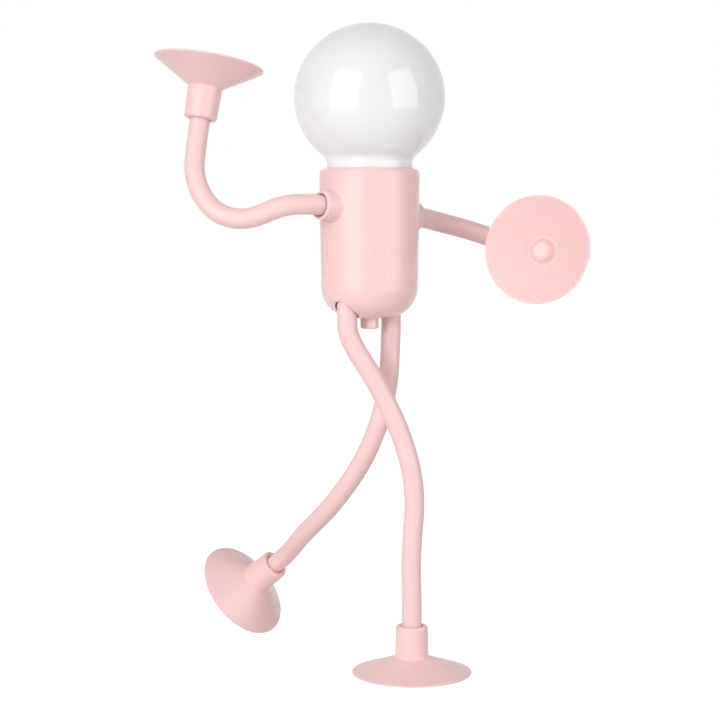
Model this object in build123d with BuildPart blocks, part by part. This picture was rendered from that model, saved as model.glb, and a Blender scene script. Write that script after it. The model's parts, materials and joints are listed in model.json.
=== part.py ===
from build123d import *
from math import acos, asin, cos, degrees, radians, sin, sqrt, tan
import os

# Posable lamp: an opal globe on a drum body, with two arms and two legs of wire in silicone sleeve.
# Every limb ends in a suction cup. Millimetres, Z up. The origin is the middle of the standing
# foot's sole. The limbs are posed in the XZ plane, seen from -Y, and the body is turned from it.

# Body: the drum that carries the globe and the limbs
body_x = -17.0
body_y = 9.0
body_turn = 40.0
body_bottom = 142.0
body_height = 59.5
draft = 0.7
wall = 2.5
floor_thickness = 2.5
bottom_rounding = 12.5
bottom_dome = 0.6
shoulder_rounding = 2.3
overcut = 2.0

# Limbs: the arms' line slopes by its tilt, and the legs' line is turned from the arms' line
sleeve_radius = 4.0
wire_radius = 1.2
wire_gap = 0.1
sleeve_gap = 0.4
seat_gap = 0.3
arm_tilt = 5.1
arm_drop = 16.9
arm_boss_reach = 5.6
arm_boss_wall = 1.4
arm_boss_flare = 0.4
arm_boss_rounding = 1.3
arm_boss_foot_rounding = 0.6
arm_seat_depth = 8.2
arm_first_run = 12.0
leg_turn = 8.0
leg_gap = 0.8
leg_seat_depth = 9.3
leg_first_run = 17.0
leg_socket_wall = 1.8
leg_socket_gap = 1.8
socket_floor = 2.0
bend_share = 0.45

# Push-on washers that hold the wires inside the body
clip_radius = 3.1
clip_thickness = 0.6
clip_gap = 0.05
wire_tail = 1.0

# Suction cups
cup_radius = 21.7
pressed_radius = 24.0
cone_height = 9.9
pressed_height = 6.4
lip_thickness = 0.9
lip_width = 1.0
lip_rounding = 0.3
cup_wall = 1.6
cone_rounding = 0.8
socket_length = 12.8
socket_wall = 2.05
socket_flare = 0.35
socket_rounding = 0.9
mouth_rounding = 0.3
socket_depth = 10.3
nub_base = 5.85
nub_tip = 3.5
nub_step = 1.2
nub_height = 3.4
nub_rounding = 1.1
nub_ring_rounding = 0.4
wire_bite = 3.0
wire_bite_gap = 0.1

# Globe and its bayonet neck
globe_radius = 30.0
globe_flattening = 0.8
globe_wall = 1.8
globe_sink = 1.1
neck_wall = 2.0
carrier_room = 2.5
neck_depth = 6.0
neck_blend = 4.0753
neck_gap = 0.35
lug_count = 3
lug_reach = 0.95
lug_height = 2.0
lug_angle = 12.0
lug_gap = 0.2
lug_side_gap = 1.0
twist_to_slot = 35.0

# Push button and its switch
button_radius = 3.7
button_stand = 4.3
button_gap = 0.25
button_rounding = 0.9
button_travel = 1.5
flange_reach = 1.1
flange_thickness = 1.0
plunger_radius = 1.5
plunger_gap = 0.1
plunger_length = 3.2
plunger_chamfer = 0.3
switch_side = 7.0
switch_height = 6.0
switch_rounding = 0.7
board_width = 9.6
board_length = 24.0
board_thickness = 1.0
board_rounding = 1.6
board_screw_inset = 2.5
post_radius = 2.2

# Small screws
screw_shank = 0.95
screw_head = 1.8
screw_head_height = 1.2
screw_rounding = 0.6
screw_length = 5.0
screw_gap = 0.1

# Carrier with its cells
cell_radius = 5.2
cell_length = 43.5
cell_rounding = 0.45
cell_nub_radius = 2.7
cell_nub_height = 1.0
cell_count = 3
cell_gap = 0.7
carrier_rim = 1.0
carrier_plate = 2.0
carrier_post = 1.8
carrier_post_inset = 0.4
carrier_gap = 0.3
spring_height = 3.2
spring_base = 4.0
spring_tip = 2.4
spring_wire = 0.6
contact_side = 5.0
contact_thickness = 0.4
contact_rounding = 0.6
ledge_width = 3.1
ledge_rise = 12.5
rib_thickness = 1.6
rib_height = 24.0
rib_count = 4
lead_radius = 0.5
lead_spread = 2.6

# LED board on top of the carrier
led_board_inset = 0.6
led_board_thickness = 1.2
led_radius = 2.4
led_height = 1.8
led_dome_share = 0.9
led_count = 5
led_pitch = 5.6

# Hand-picked points that each limb bends round, measured from its seat in the body
raised_arm_points = [(-20.2, -10.3, 0.9), (-35.2, -6.3, -5.8), (-48.7, -2.3, -1.9), (-56.2, 1.7, 11.4)]
side_arm_points = [(12.7, 15.3, -2.0), (29.7, 24.3, -6.3), (48.7, 30.3, -12.9), (61.2, 25.3, -15.9)]
standing_leg_points = [(11.3, 1.3, -34.4), (22.3, 0.9, -56.9), (27.5, 0.9, -78.9), (25.3, 0.9, -103.9)]
lifted_leg_points = [(-1.3, -0.4, -42.9), (-9.9, 3.1, -67.9), (-23.9, 13.6, -89.4), (-37.1, 29.5, -104.7)]

# How many bends lie between the body and the middle joint, that joint's own bend included
elbow_bend_count = 4
knee_bend_count = 3

# Where each cup's rim centre lies and which way it faces: a hand's is measured from its arm's
# seat, the standing foot's is the origin, and the lifted foot's rim touches the ground behind
raised_cup_offset = (-50.2, 9.7, 56.9)
raised_cup_faces = Vector(0.150, 0.116, 0.982).normalized()
side_cup_offset = (53.2, -14.7, -13.6)
side_cup_faces = Vector(-0.387, -0.916, 0.101).normalized()
lifted_cup_place = (-73.0, 76.0)
lifted_cup_faces = Vector(-0.665, 0.434, -0.609).normalized()
lifted_cup_centre = Vector(*lifted_cup_place, cup_radius * cos(asin(-lifted_cup_faces.Z)))
standing_cup_centre = Vector(0.0, 0.0, 0.0)
standing_cup_faces = Vector(0.0, 0.0, -1.0)
tip_run = 19.0

# Heights and radii that follow from the sizes above
up = Vector(0, 0, 1)
body_foot = Vector(body_x, body_y, 0)
arm_way = Vector(cos(radians(body_turn)), sin(radians(body_turn)), 0)
side_way = arm_way * cos(radians(arm_tilt)) - up * sin(radians(arm_tilt))
leg_way = Vector(cos(radians(body_turn + leg_turn)), sin(radians(body_turn + leg_turn)), 0)
body_axis = Axis((body_x, body_y, 0), (0, 0, 1))
bore_radius = sleeve_radius + sleeve_gap
leg_bore_radius = sleeve_radius + leg_gap
wire_hole = wire_radius + wire_gap

cell_pitch = (cell_radius + cell_gap / 2) / sin(radians(180 / cell_count))
carrier_radius = cell_pitch + cell_radius + carrier_rim
carrier_post_pitch = carrier_radius - carrier_post - carrier_post_inset
led_board_radius = carrier_radius - led_board_inset
ledge_inner = carrier_radius - ledge_width
neck_radius = carrier_radius + carrier_room + neck_wall
lug_radius = neck_radius + lug_reach
collar_radius = neck_radius + neck_gap
top_radius = collar_radius + wall
inner_rounding = bottom_rounding - wall

body_top = body_bottom + body_height
arm_height = body_top - arm_drop
arm_boss_rim = bore_radius + arm_boss_wall
arm_boss_base = arm_boss_rim + arm_boss_flare
arm_reach = top_radius + arm_boss_reach
arm_seat = arm_reach - arm_seat_depth
arm_socket_end = arm_seat - seat_gap - socket_floor
arm_mid = body_foot + up * arm_height
flange_radius = button_radius + flange_reach
leg_socket_radius = leg_bore_radius + leg_socket_wall
leg_offset = flange_radius + leg_socket_gap + leg_socket_radius
leg_seat = body_bottom + bottom_dome + leg_seat_depth
leg_socket_end = leg_seat + seat_gap + socket_floor
leg_place = Vector(cos(radians(leg_turn)), sin(radians(leg_turn))) * leg_offset
leg_places = [-leg_place, leg_place]
socket_mouth = bore_radius + socket_wall
socket_base = socket_mouth + socket_flare

cavity_floor = body_bottom + floor_thickness
flange_low = cavity_floor + seat_gap
flange_high = flange_low + flange_thickness
plunger_low = flange_high + seat_gap
switch_low = flange_high + button_travel + 2 * seat_gap
board_low = switch_low + switch_height
board_high = board_low + board_thickness
board_screw_spread = board_length / 2 - board_screw_inset
board_screw_places = [(0, board_screw_spread), (0, -board_screw_spread)]
ledge_top = body_bottom + ledge_rise + floor_thickness
carrier_low = ledge_top + seat_gap
cell_low = carrier_low + carrier_plate + spring_height
cell_high = cell_low + cell_length + cell_nub_height
carrier_top_low = cell_high + contact_thickness
carrier_high = carrier_top_low + carrier_plate
led_board_low = carrier_high + seat_gap
led_board_high = led_board_low + led_board_thickness
globe_half_height = globe_radius - globe_flattening
globe_centre = body_top + globe_half_height - globe_sink
arc_join = 45.0
globe_shift = globe_flattening / (2 - sqrt(2))
side_radius = globe_radius - globe_shift
crown_radius = globe_half_height + globe_shift
neck_blend_start = degrees(acos((neck_radius + neck_blend) / (crown_radius + neck_blend)))
neck_low = body_top - neck_depth
lug_low = neck_low + seat_gap
groove_low = lug_low - lug_gap
groove_high = lug_low + lug_height + lug_gap
groove_radius = lug_radius + lug_gap

# Upright section plane through both arms: local x runs along the arms, local y is the height
section = Plane(origin=(body_x, body_y, 0), x_dir=arm_way, z_dir=arm_way.cross(up))


def level(height):
    """A level plane on the body's axis, with its x along the arms."""
    return Plane(origin=(body_x, body_y, height), x_dir=arm_way, z_dir=(0, 0, 1))


def turned_section(angle):
    """The upright section plane, turned about the body's axis."""
    way = arm_way.rotate(Axis.Z, angle)
    return Plane(origin=(body_x, body_y, 0), x_dir=way, z_dir=way.cross(up))


def save(piece, name):
    piece.part.label = name
    export_step(piece.part, f"parts/{name}.step")


# The body's shell and the room inside it
def body_room():
    """The empty room in the drum: a round cavity less the leg sockets, posts and ribs."""
    with BuildPart() as room:
        with BuildSketch(section):
            with BuildLine():
                FilletPolyline(
                    (0, cavity_floor), (collar_radius, cavity_floor),
                    (collar_radius, body_top + overcut), (0, body_top + overcut),
                    radius=[0, inner_rounding, 0, 0], close=True)
            make_face()
        revolve(axis=body_axis)
        with BuildSketch(level(body_bottom)):
            with Locations(*leg_places):
                Circle(leg_socket_radius)
        extrude(amount=leg_socket_end - body_bottom, mode=Mode.SUBTRACT)
        with BuildSketch(level(body_bottom)):
            with Locations(*board_screw_places):
                Circle(post_radius)
        extrude(amount=board_low - body_bottom, mode=Mode.SUBTRACT)
        rib_end = carrier_radius + carrier_gap
        rib_turn = 180 / rib_count
        with BuildSketch(level(body_bottom)):
            with PolarLocations((ledge_inner + top_radius) / 2, rib_count, start_angle=rib_turn):
                Rectangle(top_radius - ledge_inner, rib_thickness)
        extrude(amount=ledge_top - body_bottom, mode=Mode.SUBTRACT)
        with BuildSketch(level(body_bottom)):
            with PolarLocations((rib_end + top_radius) / 2, rib_count, start_angle=rib_turn):
                Rectangle(top_radius - rib_end, rib_thickness)
        extrude(amount=ledge_top + rib_height - body_bottom, mode=Mode.SUBTRACT)
        for way in (side_way, -side_way):
            inner_face = arm_mid + way * arm_socket_end
            with BuildSketch(Plane(origin=inner_face, z_dir=way)):
                Circle(arm_boss_base)
            extrude(amount=top_radius, mode=Mode.SUBTRACT)
    return room.part


def body_shell():
    """Moulded drum with its arm bosses, leg holes, button hole and bayonet collar."""
    foot_radius = top_radius - draft
    room = body_room()
    with BuildPart() as shell:
        with BuildSketch(section):
            with BuildLine():
                FilletPolyline(
                    (0, body_bottom), (foot_radius, body_bottom + bottom_dome),
                    (top_radius, body_top), (0, body_top),
                    radius=[0, bottom_rounding, shoulder_rounding, 0], close=True)
            make_face()
        revolve(axis=body_axis)
        boss_root = top_radius - wall
        boss_taper = degrees(asin((arm_boss_base - arm_boss_rim) / arm_boss_reach))
        for way in (side_way, -side_way):
            root = arm_mid + way * boss_root
            with BuildSketch(Plane(origin=root, z_dir=way)):
                Circle(arm_boss_base + wall * tan(radians(boss_taper)))
            extrude(amount=arm_reach - boss_root, taper=boss_taper)
            boss_edges = shell.edges(Select.LAST).sort_by(Axis(root, way))
            fillet(boss_edges[0], radius=arm_boss_foot_rounding)
            rim = shell.edges().sort_by(Axis(root, way))[-1]
            fillet(rim, radius=arm_boss_rounding)
        add(room, mode=Mode.SUBTRACT)
        for way in (side_way, -side_way):
            seat = arm_mid + way * (arm_seat - seat_gap)
            with BuildSketch(Plane(origin=seat, z_dir=way)):
                Circle(bore_radius)
            extrude(amount=arm_seat_depth + overcut, mode=Mode.SUBTRACT)
            with BuildSketch(Plane(origin=seat, z_dir=-way)):
                Circle(wire_hole)
            extrude(amount=socket_floor, mode=Mode.SUBTRACT)
        with BuildSketch(level(body_bottom - overcut)):
            with Locations(*leg_places):
                Circle(leg_bore_radius)
        extrude(amount=leg_seat + seat_gap - body_bottom + overcut, mode=Mode.SUBTRACT)
        with BuildSketch(level(leg_seat)):
            with Locations(*leg_places):
                Circle(wire_hole)
        extrude(amount=leg_socket_end - leg_seat, mode=Mode.SUBTRACT)
        with BuildSketch(level(body_bottom - overcut)):
            Circle(button_radius + button_gap)
        extrude(amount=floor_thickness + 2 * overcut, mode=Mode.SUBTRACT)
        with BuildSketch(level(board_low)):
            with Locations(*board_screw_places):
                Circle(screw_shank + screw_gap)
        extrude(amount=-screw_length, mode=Mode.SUBTRACT)
        slot_side = lug_angle / 2 + lug_side_gap
        for turn in range(lug_count):
            start = turn * 360 / lug_count - twist_to_slot - slot_side
            with BuildSketch(turned_section(start)):
                with BuildLine():
                    Polyline(
                        (neck_radius, groove_low), (groove_radius, groove_low),
                        (groove_radius, groove_high), (neck_radius, groove_high), close=True)
                make_face()
            revolve(axis=body_axis, revolution_arc=twist_to_slot + 2 * slot_side, mode=Mode.SUBTRACT)
            with BuildSketch(turned_section(start)):
                with BuildLine():
                    Polyline(
                        (neck_radius, groove_low), (lug_radius + lug_gap / 2, groove_low),
                        (lug_radius + lug_gap / 2, body_top + overcut), (neck_radius, body_top + overcut),
                        close=True)
                make_face()
            revolve(axis=body_axis, revolution_arc=2 * slot_side, mode=Mode.SUBTRACT)
    save(shell, "body_shell")


# The globe
def globe():
    """Hollow opal ball on a short neck with bayonet lugs round its foot.

    The ball is slightly flattened: its half outline is three arcs that are tangent at 45 degrees.
    """
    with BuildPart() as ball:
        for shrink, neck, mode in (
                (0.0, neck_radius, Mode.ADD), (globe_wall, neck_radius - neck_wall, Mode.SUBTRACT)):
            with BuildSketch(section):
                with BuildLine():
                    crown = CenterArc(
                        (0, globe_centre - globe_shift), crown_radius - shrink, arc_join, 90 - arc_join)
                    CenterArc(
                        (globe_shift, globe_centre), side_radius - shrink, -arc_join, 2 * arc_join)
                    under = CenterArc(
                        (0, globe_centre + globe_shift), crown_radius - shrink,
                        -neck_blend_start, neck_blend_start - arc_join)
                    leave = under @ 0
                    heading = under % 0
                    blend_radius = (leave.X - neck) / (1 - heading.Y)
                    neck_top = (neck, leave.Y - heading.X * blend_radius)
                    TangentArc(leave, neck_top, tangent=-heading)
                    Polyline(neck_top, (neck, neck_low), (0, neck_low), crown @ 1)
                make_face()
            revolve(axis=body_axis, mode=mode)
        for turn in range(lug_count):
            with BuildSketch(turned_section(turn * 360 / lug_count - lug_angle / 2)):
                with BuildLine():
                    Polyline(
                        (neck_radius - neck_wall / 2, lug_low), (lug_radius, lug_low),
                        (lug_radius, lug_low + lug_height),
                        (neck_radius - neck_wall / 2, lug_low + lug_height), close=True)
                make_face()
            revolve(axis=body_axis, revolution_arc=lug_angle)
    save(ball, "globe")


# Push button, switch and board under the carrier
def button():
    """Round-ended peg that stands out under the body, with a flange inside that keeps it in."""
    with BuildPart() as peg:
        with BuildSketch(level(body_bottom - button_stand)):
            Circle(button_radius)
        extrude(amount=button_stand + flange_low - body_bottom)
        fillet(peg.edges().sort_by(Axis.Z)[0], radius=button_rounding)
        with BuildSketch(level(flange_low)):
            Circle(flange_radius)
        extrude(amount=flange_thickness)
    save(peg, "button")


def switch_plunger():
    with BuildPart() as plunger:
        with BuildSketch(level(plunger_low)):
            Circle(plunger_radius)
        extrude(amount=plunger_length)
        chamfer(plunger.edges().sort_by(Axis.Z)[0], length=plunger_chamfer)
    save(plunger, "switch_plunger")


def push_switch():
    """Latching switch: a square case with a round well for its plunger."""
    with BuildPart() as switch:
        with BuildSketch(level(switch_low)):
            RectangleRounded(switch_side, switch_side, switch_rounding)
        extrude(amount=switch_height)
        with BuildSketch(level(switch_low)):
            Circle(plunger_radius + plunger_gap)
        extrude(amount=plunger_low + plunger_length + button_travel + seat_gap - switch_low,
                mode=Mode.SUBTRACT)
    save(switch, "push_switch")


def switch_board():
    with BuildPart() as board:
        with BuildSketch(level(board_low)):
            RectangleRounded(board_width, board_length, board_rounding)
            with Locations(*board_screw_places):
                Circle(screw_shank + screw_gap, mode=Mode.SUBTRACT)
        extrude(amount=board_thickness)
    save(board, "switch_board")


def screws(name, seat, places):
    """Pan-head screws that hang down from a seat height, at places in the body's own plan."""
    with BuildPart() as set_of_screws:
        for place in places:
            with BuildSketch(level(seat)):
                with Locations(place):
                    Circle(screw_head)
            extrude(amount=screw_head_height)
            with BuildSketch(level(seat)):
                with Locations(place):
                    Circle(screw_shank)
            extrude(amount=-screw_length)
        heads = set_of_screws.edges().group_by(Axis.Z)[-1]
        fillet(heads, radius=screw_rounding)
    save(set_of_screws, name)


# Carrier, cells and contacts
def around(count, radius, start=0.0):
    """Places on a circle in the body's own plan."""
    steps = [radians(start + 360 * step / count) for step in range(count)]
    return [(radius * cos(step), radius * sin(step)) for step in steps]


cell_places = around(cell_count, cell_pitch, 90)
post_places = around(cell_count, carrier_post_pitch, 90 + 180 / cell_count)


def cell_carrier():
    """Two round plates joined by three posts that stand between the cells."""
    with BuildPart() as carrier:
        for low in (carrier_low, carrier_top_low):
            with BuildSketch(level(low)):
                Circle(carrier_radius)
            extrude(amount=carrier_plate)
        with BuildSketch(level(carrier_low)):
            with Locations(*post_places):
                Circle(carrier_post)
        extrude(amount=carrier_high - carrier_low)
        with BuildSketch(level(carrier_high)):
            with Locations(*post_places[:2]):
                Circle(screw_shank + screw_gap)
        extrude(amount=-screw_length, mode=Mode.SUBTRACT)
    save(carrier, "cell_carrier")


def cell(number, place):
    """Round cell with its raised contact on top."""
    with BuildPart() as can:
        with BuildSketch(level(cell_low)):
            with Locations(place):
                Circle(cell_radius)
        extrude(amount=cell_length)
        fillet(can.edges().filter_by(GeomType.CIRCLE), radius=cell_rounding)
        with BuildSketch(level(cell_low + cell_length)):
            with Locations(place):
                Circle(cell_nub_radius)
        extrude(amount=cell_nub_height)
    save(can, f"cell_{number}")


def spring_contacts():
    """Tapered sleeves in the place of the coil springs under the cells."""
    with BuildPart() as springs:
        for place in cell_places:
            for grow, mode in ((0.0, Mode.ADD), (-spring_wire, Mode.SUBTRACT)):
                with BuildSketch(level(cell_low - spring_height)):
                    with Locations(place):
                        Circle(spring_base + grow)
                with BuildSketch(level(cell_low)):
                    with Locations(place):
                        Circle(spring_tip + grow)
                loft(mode=mode)
    save(springs, "spring_contacts")


def plate_contacts():
    with BuildPart() as plates:
        with BuildSketch(level(cell_high)):
            with Locations(*cell_places):
                RectangleRounded(contact_side, contact_side, contact_rounding)
        extrude(amount=contact_thickness)
    save(plates, "plate_contacts")


def board_leads():
    with BuildPart() as leads:
        with BuildSketch(level(board_high)):
            with Locations((0, lead_spread), (0, -lead_spread)):
                Circle(lead_radius)
        extrude(amount=carrier_low - board_high)
    save(leads, "board_leads")


# Light source
def led_board():
    with BuildPart() as board:
        with BuildSketch(level(led_board_low)):
            Circle(led_board_radius)
            with Locations(*post_places[:2]):
                Circle(screw_shank + screw_gap, mode=Mode.SUBTRACT)
        extrude(amount=led_board_thickness)
    save(board, "led_board")


def leds():
    """Domed lamps in a ring on the board."""
    with BuildPart() as domes:
        with BuildSketch(level(led_board_high)):
            with Locations(*around(led_count, led_pitch)):
                Circle(led_radius)
        extrude(amount=led_height)
        fillet(domes.edges().group_by(Axis.Z)[-1], radius=led_height * led_dome_share)
    save(domes, "leds")


# Suction cups
def cup(name, centre, faces, rim, height):
    """Moulded cup turned about its own axis: lip, cone, blind socket for the sleeve, inner nub."""
    back = -faces
    side = back.cross(Vector(0, 1, 0)) if abs(back.Y) < 0.7 else back.cross(up)
    side = side.normalized()
    ceiling = height - cup_wall
    seat = height + socket_length - socket_depth
    wire_end = seat - wire_bite - wire_bite_gap
    nub_low = ceiling - nub_height
    with BuildPart() as moulding:
        with BuildSketch(Plane(origin=centre, x_dir=side, z_dir=side.cross(back))):
            with BuildLine():
                FilletPolyline(
                    (rim - lip_width, 0), (rim, 0), (rim, lip_thickness), (socket_base, height),
                    (socket_mouth, height + socket_length), (bore_radius, height + socket_length),
                    (bore_radius, seat), (wire_hole, seat), (wire_hole, wire_end),
                    (0, wire_end), (0, nub_low), (nub_tip, nub_low),
                    (nub_tip + nub_step, ceiling - nub_step), (nub_base, ceiling - nub_step),
                    (nub_base, ceiling), (nub_base + 2 * nub_step, ceiling),
                    radius=[0, lip_rounding, lip_rounding, cone_rounding, socket_rounding, mouth_rounding,
                            0, 0, 0, 0, 0, nub_rounding, 0, nub_ring_rounding, 0, nub_step],
                    close=True)
            make_face()
        revolve(axis=Axis(centre, back))
    save(moulding, name)


# Limbs
def bend_radius(before, corner, after):
    """Largest arc that takes the chosen share of the shorter run beside a corner."""
    way_in = corner - before
    way_out = after - corner
    turn = radians(way_in.get_angle(way_out))
    return bend_share * min(way_in.length, way_out.length) / tan(turn / 2)


def limb_route(root, way, first_run, points, centre, faces, height):
    """Corners of a limb's centre line, from its seat in the body to its seat in the cup."""
    tip_seat = centre - faces * (height + socket_length - socket_depth + seat_gap)
    corners = [root, root + way * first_run]
    corners += [root + Vector(*point) for point in points]
    corners += [tip_seat - faces * tip_run, tip_seat]
    return corners


def tube(name, corners, radii, outer, inner):
    """A tube along straight runs joined by arcs, with a bore where inner is above nothing."""
    start = Plane(origin=corners[0], z_dir=corners[1] - corners[0])
    with BuildPart() as piece:
        with BuildLine():
            FilletPolyline(*corners, radius=radii)
        with BuildSketch(start):
            Circle(outer)
            if inner > 0:
                Circle(inner, mode=Mode.SUBTRACT)
        sweep()
    save(piece, name)


def limb(name, lengths, joint_corner, corners):
    """Five lengths of sleeve and the wire that runs through them all."""
    tip_corner = len(corners) - 2
    ends = range(1, len(corners) - 1)
    radii = [bend_radius(*corners[number - 1:number + 2]) for number in ends]
    print(name, "bend radii", [round(radius, 1) for radius in radii])
    halfway = [(corners[number] + corners[number + 1]) / 2 for number in range(len(corners) - 1)]
    spans = [(0, 1), (1, joint_corner - 1), (joint_corner - 1, joint_corner),
             (joint_corner, tip_corner - 1), (tip_corner - 1, tip_corner)]
    for length, (first, last) in zip(lengths, spans):
        start = corners[0] if first == 0 else halfway[first]
        end = corners[-1] if last == tip_corner else halfway[last]
        stretch = [start] + corners[first + 1:last + 1] + [end]
        tube(f"{name}_{length}", stretch, radii[first:last], sleeve_radius, wire_hole)
    tail = corners[0] - (corners[1] - corners[0]).normalized() * wire_lead
    tip = corners[-1] + (corners[-1] - corners[-2]).normalized() * (seat_gap + wire_bite)
    tube(f"{name}_wire", [tail] + corners[1:-1] + [tip], radii, wire_radius, 0)


def wire_clips(places):
    """Push-on washers, each flat against the inside of a socket floor."""
    with BuildPart() as clips:
        for seat, way in places:
            with BuildSketch(Plane(origin=seat, z_dir=way)):
                Circle(clip_radius)
                Circle(wire_radius + clip_gap, mode=Mode.SUBTRACT)
            extrude(amount=clip_thickness)
    save(clips, "wire_clips")


os.makedirs("parts", exist_ok=True)

body_shell()
globe()
button()
switch_plunger()
push_switch()
switch_board()
screws("board_screws", board_high, board_screw_places)
cell_carrier()
for number, place in enumerate(cell_places, start=1):
    cell(number, place)
spring_contacts()
plate_contacts()
board_leads()
led_board()
screws("led_board_screws", led_board_high, post_places[:2])
leds()

wire_lead = seat_gap + socket_floor + clip_thickness + wire_tail
arm_lengths = ["shoulder_bend", "upper", "elbow_bend", "forearm", "wrist_bend"]
leg_lengths = ["hip_bend", "thigh", "knee_bend", "shin", "ankle_bend"]
leg_mid = body_foot + up * leg_seat
raised_arm_root = arm_mid - side_way * arm_seat
side_arm_root = arm_mid + side_way * arm_seat
raised_cup_centre = raised_arm_root + Vector(*raised_cup_offset)
side_cup_centre = side_arm_root + Vector(*side_cup_offset)
raised_arm = limb_route(raised_arm_root, -side_way, arm_first_run, raised_arm_points,
                        raised_cup_centre, raised_cup_faces, cone_height)
side_arm = limb_route(side_arm_root, side_way, arm_first_run, side_arm_points,
                      side_cup_centre, side_cup_faces, cone_height)
standing_leg = limb_route(leg_mid - leg_way * leg_offset, -up, leg_first_run, standing_leg_points,
                          standing_cup_centre, standing_cup_faces, pressed_height)
lifted_leg = limb_route(leg_mid + leg_way * leg_offset, -up, leg_first_run, lifted_leg_points,
                        lifted_cup_centre, lifted_cup_faces, cone_height)
limb("raised_arm", arm_lengths, elbow_bend_count, raised_arm)
limb("side_arm", arm_lengths, elbow_bend_count, side_arm)
limb("standing_leg", leg_lengths, knee_bend_count, standing_leg)
limb("lifted_leg", leg_lengths, knee_bend_count, lifted_leg)
leg_clip_mid = body_foot + up * leg_socket_end
wire_clips([
    (arm_mid - side_way * arm_socket_end, side_way), (arm_mid + side_way * arm_socket_end, -side_way),
    (leg_clip_mid - leg_way * leg_offset, up), (leg_clip_mid + leg_way * leg_offset, up)])
cup("raised_hand_cup", raised_cup_centre, raised_cup_faces, cup_radius, cone_height)
cup("side_hand_cup", side_cup_centre, side_cup_faces, cup_radius, cone_height)
cup("standing_foot_cup", standing_cup_centre, standing_cup_faces, pressed_radius, pressed_height)
cup("lifted_foot_cup", lifted_cup_centre, lifted_cup_faces, cup_radius, cone_height)
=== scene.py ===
import bmesh
import bpy
import json
import numpy as np
from math import cos, degrees, pi, radians, sin, sqrt, tan
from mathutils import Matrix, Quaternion, Vector


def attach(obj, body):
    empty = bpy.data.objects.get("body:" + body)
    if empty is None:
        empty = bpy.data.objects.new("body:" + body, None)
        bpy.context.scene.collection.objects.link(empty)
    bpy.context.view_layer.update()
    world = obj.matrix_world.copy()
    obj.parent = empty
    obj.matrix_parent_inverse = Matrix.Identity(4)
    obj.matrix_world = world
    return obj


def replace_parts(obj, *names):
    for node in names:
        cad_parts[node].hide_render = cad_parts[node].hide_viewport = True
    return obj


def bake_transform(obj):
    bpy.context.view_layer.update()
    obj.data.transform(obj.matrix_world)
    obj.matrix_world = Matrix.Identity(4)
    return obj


# Posable globe lamp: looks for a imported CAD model. Metres, Z up, the standing foot's sole at the origin.
# Shapes are written in millimetres, as on a drawing, and turned to metres where a mesh is made.
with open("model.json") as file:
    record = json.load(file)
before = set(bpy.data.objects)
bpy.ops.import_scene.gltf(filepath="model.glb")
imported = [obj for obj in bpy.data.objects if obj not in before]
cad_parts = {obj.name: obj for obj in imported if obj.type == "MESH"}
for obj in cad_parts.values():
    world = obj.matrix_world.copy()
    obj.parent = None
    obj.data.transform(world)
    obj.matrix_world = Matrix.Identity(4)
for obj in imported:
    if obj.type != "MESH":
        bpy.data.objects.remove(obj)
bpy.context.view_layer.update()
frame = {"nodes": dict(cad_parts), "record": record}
print("frame loaded,", len(frame["nodes"]), "nodes")

mm = 0.001
up = np.array([0.0, 0.0, 1.0])

# Sizes shared by pieces that fit each other, as in the CAD model
fit = {
    "bodyX": -17.0, "bodyY": 9.0, "bodyTurn": 40.0, "armTilt": 5.1, "legTurn": 8.0,
    "bodyBottom": 142.0, "bodyTop": 201.5, "topRadius": 19.96, "footRadius": 19.26,
    "bottomDome": 0.6, "bottomRounding": 12.5, "shoulderRounding": 2.3, "collarRadius": 17.46,
    "armDrop": 16.9, "armReach": 25.56, "armSeat": 17.36, "legOffset": 13.2, "legSeat": 151.9,
    "sleeveRadius": 4.0, "boreRadius": 4.4, "legBoreRadius": 4.8, "seatGap": 0.3,
    "globeRadius": 30.0, "globeHalfHeight": 29.2, "globeSink": 1.1, "neckRadius": 17.11, "neckDepth": 6.0,
    "buttonRadius": 3.7, "buttonGap": 0.25, "buttonStand": 4.3,
    "socketLength": 12.8, "socketDepth": 10.3,
    "coneHeight": 9.9, "pressedHeight": 6.4, "cupRadius": 21.7, "pressedRadius": 24.0,
}
armHeight = fit["bodyTop"] - fit["armDrop"]
globeHeight = fit["bodyTop"] + fit["globeHalfHeight"] - fit["globeSink"]
turn, tilt = radians(fit["bodyTurn"]), radians(fit["armTilt"])
armWay = np.array([cos(turn), sin(turn), 0.0])
sideWay = armWay * cos(tilt) - up * sin(tilt)
legWay = np.array([cos(turn + radians(fit["legTurn"])), sin(turn + radians(fit["legTurn"])), 0.0])
bodyFoot = np.array([fit["bodyX"], fit["bodyY"], 0.0])
armMiddle = bodyFoot + up * armHeight


def unit(vector):
    # A vector divided by its own length
    vector = np.asarray(vector, float)
    return vector / np.linalg.norm(vector)


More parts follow.
